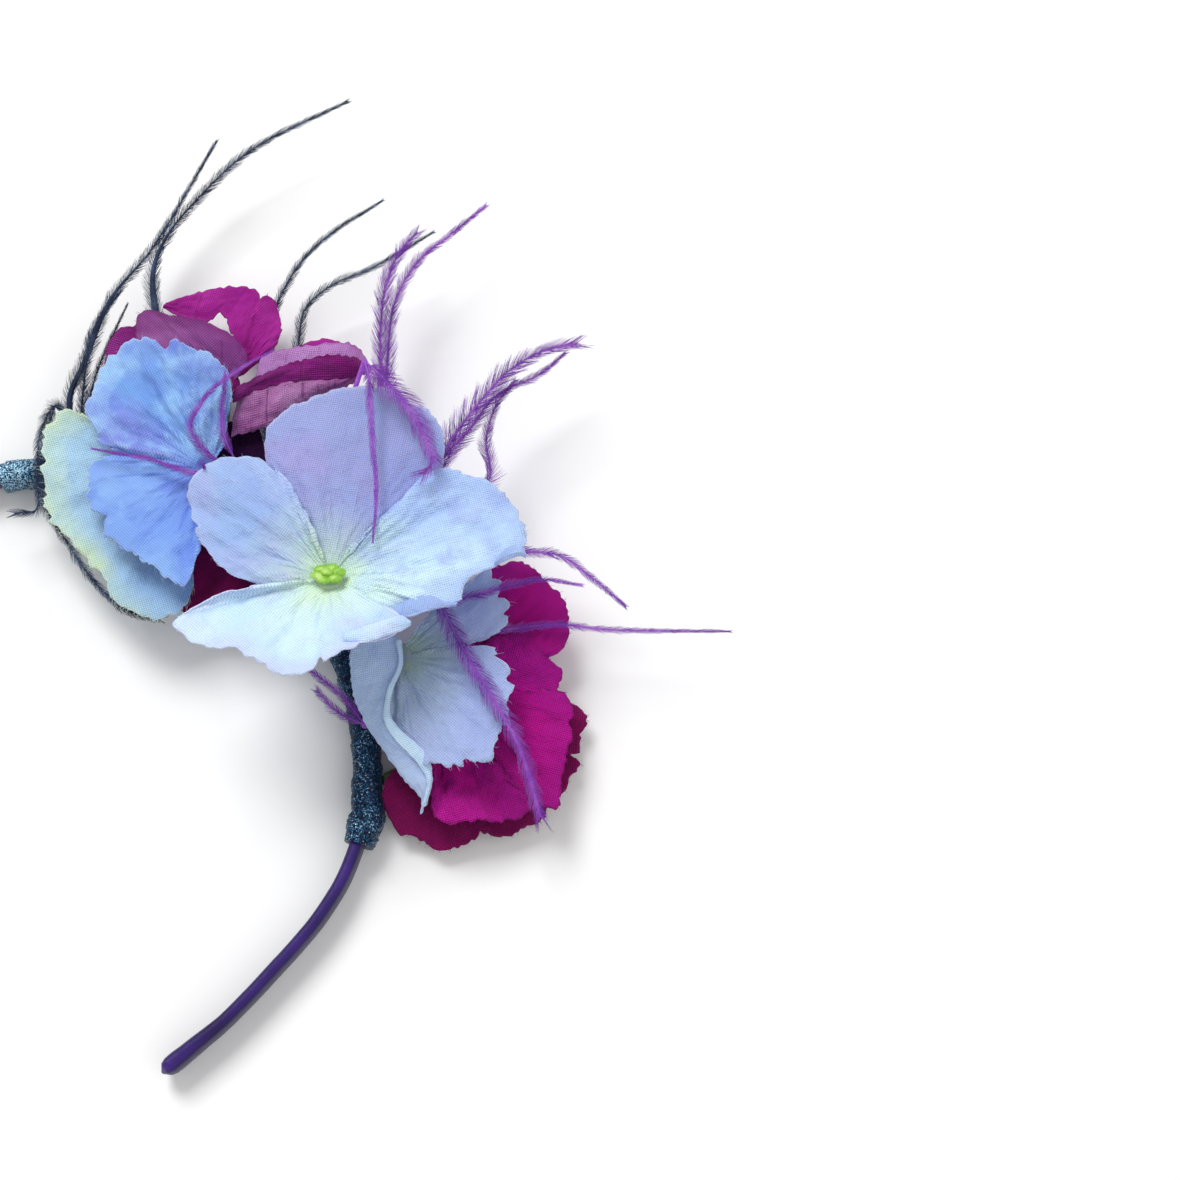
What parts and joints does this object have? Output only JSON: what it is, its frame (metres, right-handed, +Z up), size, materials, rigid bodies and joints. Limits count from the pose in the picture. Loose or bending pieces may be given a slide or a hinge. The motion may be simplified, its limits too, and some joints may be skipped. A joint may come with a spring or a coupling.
{
  "type": "floral headband",
  "caption": "Satin covered headband lying on its side, wound with glitter ribbon and carrying fabric hydrangea florets and thin feather fronds.",
  "frame": {"origin": "under the middle of the whole, on the surface that it lies on", "axes": "+Z up from the surface, which is along the width of the band; the band is a C in the XY plane, its open side towards -X and -Y, and the florets sit towards +X and +Y"},
  "size_m": [0.2034, 0.207, 0.0428],
  "materials": {
    "satin": "purple satin ribbon, smooth with a sheen",
    "glitter_ribbon": "dark teal ribbon covered in glitter",
    "pale_cloth": "pale blue-lilac woven cloth, matte",
    "blue_cloth": "sky blue woven cloth, matte",
    "aqua_cloth": "pale aqua woven cloth with a green-cream edge, matte",
    "magenta_cloth": "magenta woven cloth, matte",
    "stamen": "lime green, slightly glossy",
    "stem": "muted green, matte",
    "navy_feather": "navy dyed feather",
    "purple_feather": "violet dyed feather"
  },
  "bodies": {
    "root": {"satin_band": "satin", "glitter_wrap": "glitter_ribbon", "main_floret": "pale_cloth", "main_stem": "stem", "stamen_cluster": "stamen", "blue_floret": "blue_cloth", "blue_stem": "stem", "rim_floret": "aqua_cloth", "rim_stem": "stem", "pale_floret": "pale_cloth", "pale_stem": "stem", "front_magenta_floret": "magenta_cloth", "front_magenta_stem": "stem", "back_magenta_floret": "magenta_cloth", "back_magenta_stem": "stem", "left_magenta_floret": "magenta_cloth", "left_magenta_stem": "stem", "top_magenta_floret": "magenta_cloth", "top_magenta_stem": "stem", "middle_magenta_floret": "magenta_cloth", "middle_magenta_stem": "stem", "navy_left_plume": "navy_feather", "navy_top_plume": "navy_feather", "purple_top_plume": "purple_feather", "purple_right_plume": "purple_feather", "purple_low_plume": "purple_feather", "purple_side_plume": "purple_feather", "purple_inner_plume": "purple_feather", "purple_front_plume": "purple_feather", "purple_left_plume": "purple_feather"}
  },
  "joints": []
}
